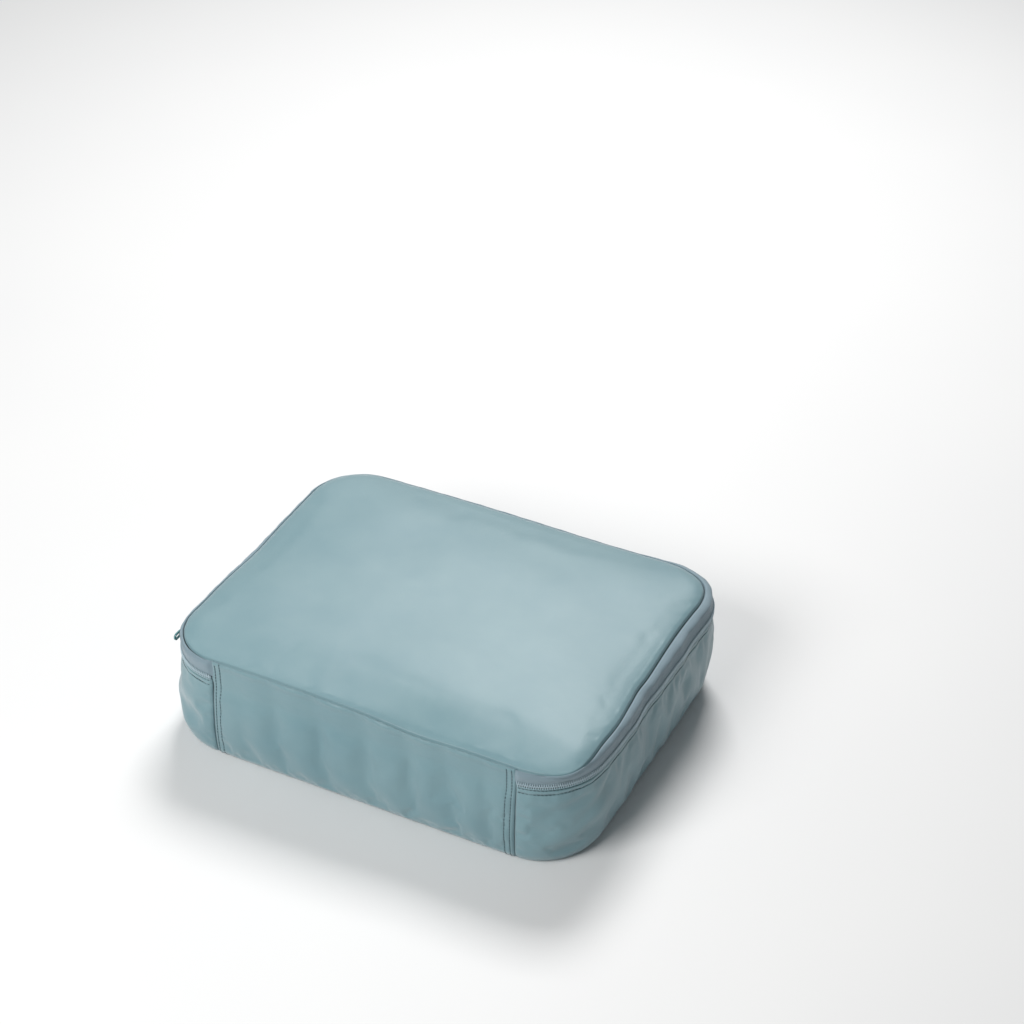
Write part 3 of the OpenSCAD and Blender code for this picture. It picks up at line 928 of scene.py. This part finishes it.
def scatter(name, template, centres, along, outward, upward, finish):
    # copies of a template, each turned to its own three directions
    points, faces = template  # one copy's points and faces
    count = len(centres)
    x, y, z = (points[None, :, k, None] for k in range(3))
    placed = (centres[:, None] + x * along[:, None] + y * outward[:, None] + z * upward[:, None]).reshape(-1, 3)
    every = (faces[None] + np.arange(count)[:, None, None] * len(points)).reshape(-1, 4)
    lists = [list(dict.fromkeys(face)) for face in every.tolist()]
    return addPiece(name, placed, lists, [finish])


def coil(name, way, body, node):
    # loops of nylon across the zip: a hairpin from behind the tape edge, round past the middle and back
    o, i, h, w = zipper["outside"], zipper["inside"], zipper["head"], zipper["tail"]
    path = np.array([[0, i, w], [0, i, 0.4], [0, i * 0.75, -h * 0.7], [0, (o + i) / 2, -h - 0.15],
                     [0, o * 0.75, -h * 0.7], [0, o, 0.3], [0, o * 0.95, w - 0.5], [0, 0.1, w]])
    template = tubeTemplate(path * mm, zipper["wire"] * mm, 5)
    n = int((zipEnd - zipStart) / (zipper["pitch"] * mm))
    t = zipStart + (np.arange(n) + (0.75 if way > 0 else 1.25)) * zipper["pitch"] * mm
    x, y, nx, ny = aroundBag(t)
    out = zipSway(t)
    centres = np.stack([x + nx * out, y + ny * out, bag["zip"] + zipRise(t)], -1)
    along = np.stack([-ny, nx, 0 * t], -1)
    outward = np.stack([nx, ny, 0 * t], -1)
    upward = np.stack([0 * t, 0 * t, way + 0 * t], -1)
    piece = scatter(name, template, centres, along * way, outward, upward, coilFinish)
    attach(piece, body)
    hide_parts(node)


coil("upperCoil", 1, "lid", "upper_coil")
coil("lowerCoil", -1, "base", "lower_coil")
print("zip made")

# Bindings
binding = {"thick": 1.6}


def flatSway(t):
    return 0 * t


def bindingBand(name, inset, low, high, body, node, rise=flatSway, sway=flatSway):
    # folded tape round the raw edges: a flattened ring carried round the bag
    n = 560
    t = np.arange(n)[:, None] * girth / n
    a = np.arange(20)[None, :] * 2 * np.pi / 20
    half = (high - low) / 2
    c, s = np.cos(a), np.sin(a)
    thick = binding["thick"] * mm / 2
    shape = np.sign(c) * np.abs(c) ** 0.7 * thick
    quilt = 1 - 0.22 * np.exp(-((s / 0.35) ** 2)) * (0.7 + 0.3 * np.sin(2 * np.pi * t / (6.2 * mm)))
    out = -inset - thick + shape * quilt + sway(t)
    z = (low + high) / 2 + np.sign(s) * np.abs(s) ** 0.8 * half + rise(t)
    grid = onWall(t + 0 * a, out, z + 0 * t)
    u = np.append(t[:, 0], girth)
    v = np.linspace(0, 2 * (high - low), 21)
    piece = gridPiece(name, grid, u, v, [bindingFinish], wrapU=True, wrapV=True)
    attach(piece, body)
    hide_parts(node)


seam = bag["seam"]
bindingBand("lidBinding", 3.5 * mm, seam - 11 * mm, seam - 2.4 * mm, "lid", "lid_binding", seamRise, seamSway)
bindingBand("bottomBinding", 4.6 * mm, 1.4 * mm, 9.6 * mm, "base", "bottom_binding")


def seamBinding(name, node):
    low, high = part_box(node)
    n = 60
    z = np.linspace(low.z, high.z, n)[:, None]
    a = np.arange(20)[None, :] * 2 * np.pi / 20
    c, s = np.cos(a), np.sin(a)
    x = (low.x + high.x) / 2 + np.sign(c) * np.abs(c) ** 0.8 * (high.x - low.x) / 2
    thick = (high.y - low.y) / 2
    fromMiddle = np.abs((z - (low.z + high.z) / 2) / ((high.z - low.z) / 2))
    taper = np.sqrt(1 - np.clip(fromMiddle, 0, 1) ** 24) * 0.98 + 0.02
    quilt = 1 - 0.22 * np.exp(-((c / 0.35) ** 2))
    back = bellyOut(np.full_like(z, bag["hingeRight"]), z)
    y = (low.y + high.y) / 2 + 2.6 * mm + np.sign(s) * np.abs(s) ** 0.7 * thick * quilt * taper - 0.5 * back
    grid = np.stack([x + 0 * z, y, z + 0 * a], -1)
    piece = gridPiece(name, grid, z[:, 0], np.linspace(0, 18 * mm, 21), [bindingFinish], wrapV=True)
    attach(piece, "base")
    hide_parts(node)


seamBinding("leftSeamBinding", "left_seam_binding")
seamBinding("rightSeamBinding", "right_seam_binding")
print("bindings folded")

# Stitches
def stitchTemplate():
    # a thread arched over the cloth, thinner at both ends
    x = np.array([-1, -0.6, 0, 0.6, 1]) * stitch["long"] / 2
    arch = -stitch["dip"] * (2 * x / stitch["long"]) ** 2
    path = np.stack([0 * x, arch, x], -1) * mm
    return tubeTemplate(path, stitch["thick"] * mm, 5)


def stitchRun(name, places, outward, forward):
    side = np.cross(outward, forward)
    return scatter(name, stitchTemplate(), places, side, outward, forward, threadAndShadeFinish)


def hemRow(name, drop, node):
    n = int((zipEnd - zipStart - 4 * mm) / (stitch["pitch"] * mm))
    t = zipStart + (np.arange(n) + 1) * stitch["pitch"] * mm
    depth = drop * mm / bag["hem"]
    out = bellyOut(t, bag["hem"] - drop * mm) + zipSway(t) * (1 - depth) ** 0.8 + endDip(t) - 0.12 * mm
    x, y, nx, ny = aroundBag(t)
    places = np.stack([x + nx * out, y + ny * out, bag["hem"] - drop * mm + zipRise(t) * (1 - depth) ** 1.5], -1)
    piece = stitchRun(name, places, np.stack([nx, ny, 0 * t], -1), np.stack([-ny, nx, 0 * t], -1))
    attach(piece, "base")
    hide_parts(node)


hemRow("hemStitchesUpper", 1.8, "hem_stitches_upper")
hemRow("hemStitchesLower", 6.8, "hem_stitches_lower")


def hingeRows():
    # four upright rows, two at each end of the hinge panel, read off the settled cloth
    tFine, z, out, settled = hingeShape
    places = []
    for end, side in ((bag["hingeLeft"], 1), (bag["hingeRight"], -1)):
        for row in stitch["upright"]:
            at = end + side * row * mm
            col = int(np.argmin(np.abs(tFine[:, 0] - at)))
            heights = np.arange(2.5 * mm, z[col, -1] - 1.5 * mm, stitch["pitch"] * mm)
            off = np.interp(heights, z[col], out[col]) + 0.3 * mm
            dx, dy, dz = (np.interp(heights, z[col], settled[col, :, k]) for k in range(3))
            places.append(np.stack([at + dx, -bag["halfDeep"] - off + dy, heights + dz], -1))
    places = np.concatenate(places)
    outward = np.tile([0.0, -1, 0], (len(places), 1))
    forward = np.tile([0.0, 0, 1], (len(places), 1))
    return stitchRun("hingeStitches", places, outward, forward)


hingeStitches = hingeRows()
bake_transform(hingeStitches, "base", "lid", foldLow, foldHigh)
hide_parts("left_seam_stitches", "right_seam_stitches", "strip_stitches")
print("stitches sewn")

# Sliders and pulls
hardware = {"edge": 0.22, "segments": 2}


def softened(name, node, finish):
    # the node's own shape with its sharp edges rounded
    source = frame["nodes"][node]
    mesh = source.data.copy()
    mesh.name = name
    mesh.materials.clear()
    mesh.materials.append(finish)
    piece = bpy.data.objects.new(name, mesh)
    scene.collection.objects.link(piece)
    weld = piece.modifiers.new("weld", "WELD")
    weld.merge_threshold = 0.001 * mm
    bevel = piece.modifiers.new("edges", "BEVEL")
    bevel.width = hardware["edge"] * mm
    bevel.segments = hardware["segments"]
    bevel.limit_method = "ANGLE"
    bevel.angle_limit = math.radians(40)
    bevel.use_clamp_overlap = True
    bevel.harden_normals = False
    mesh.polygons.foreach_set("use_smooth", np.full(len(mesh.polygons), True))
    even = piece.modifiers.new("even", "WEIGHTED_NORMAL")
    even.keep_sharp = True
    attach(piece, body_of(source)[0])
    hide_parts(node)


for which in ("near", "far"):
    softened(which + "SliderBody", which + "_slider_body", paintFinish)
    softened(which + "SliderCrown", which + "_slider_crown", paintFinish)
    softened(which + "LockPin", which + "_lock_pin", steelFinish)
    softened(which + "Pull", which + "_pull", paintFinish)
print("sliders made")

# Floor, light and camera
studio = {
    "azimuth": 26.52,
    "elevation": 35.65,
    "roll": 0.43,
    "lens": 84.72,
    "camera": (842.7, -1551.5, 1486.3),  # mm
}


def paleFloor():
    finish = Finish("paleFloor", roughness=0.6)
    fleck = finish.noise(finish.place(), 3.0, 2.0)
    finish.feed("baseColor", finish.blendColour(fleck, linear("#e9eaeb"), linear("#edeeee")))
    side = 6.0
    points = np.array([[-side, -side, 0], [side, -side, 0], [side, side, 0], [-side, side, 0]], float)
    floor = addPiece("floor", points, [[0, 1, 2, 3]], [finish.material])


def aimed(azimuth, elevation, roll=0.0):
    # axes of something that looks back along these angles
    a, e, r = (math.radians(x) for x in (azimuth, elevation, roll))
    back = np.array([math.sin(a) * math.cos(e), -math.cos(a) * math.cos(e), math.sin(e)])
    right = np.array([math.cos(a), math.sin(a), 0.0])
    up = np.cross(back, right)
    right, up = right * math.cos(r) + up * math.sin(r), up * math.cos(r) - right * math.sin(r)
    return np.stack([right, up, back], 1)


def placeAt(thing, axes, spot):
    matrix = np.eye(4)
    matrix[:3, :3], matrix[:3, 3] = axes, spot
    thing.matrix_world = Matrix(matrix.tolist())
    scene.collection.objects.link(thing)


def softbox(name, azimuth, elevation, distance, size, power, colour):
    lamp = bpy.data.lights.new(name, "AREA")
    lamp.shape = "RECTANGLE"
    lamp.size, lamp.size_y = size
    lamp.energy = power
    lamp.color = colour
    axes = aimed(azimuth, elevation)
    placeAt(bpy.data.objects.new(name, lamp), axes, axes[:, 2] * distance + np.array([0, 0, 0.06]))


paleFloor()
softbox("keySoftbox", -18, 40, 2.2, (1.2, 1.0), 34, (1.0, 0.985, 0.97))
softbox("backSoftbox", 198, 50, 2.4, (0.9, 0.8), 43, (1.0, 0.985, 0.975))
world = bpy.data.worlds.new("paleRoom")
world.use_nodes = True
world.node_tree.nodes["Background"].inputs["Color"].default_value = (0.90, 0.93, 0.95, 1)
world.node_tree.nodes["Background"].inputs["Strength"].default_value = 0.2
scene.world = world
scene.view_settings.view_transform = "Standard"

camera = bpy.data.cameras.new("camera")
camera.lens = studio["lens"]
camera.sensor_width = 36
camera.clip_start, camera.clip_end = 0.05, 30
cameraObject = bpy.data.objects.new("camera", camera)
placeAt(cameraObject, aimed(studio["azimuth"], studio["elevation"], studio["roll"]), np.array(studio["camera"]) * mm)
scene.camera = cameraObject
print("studio set")
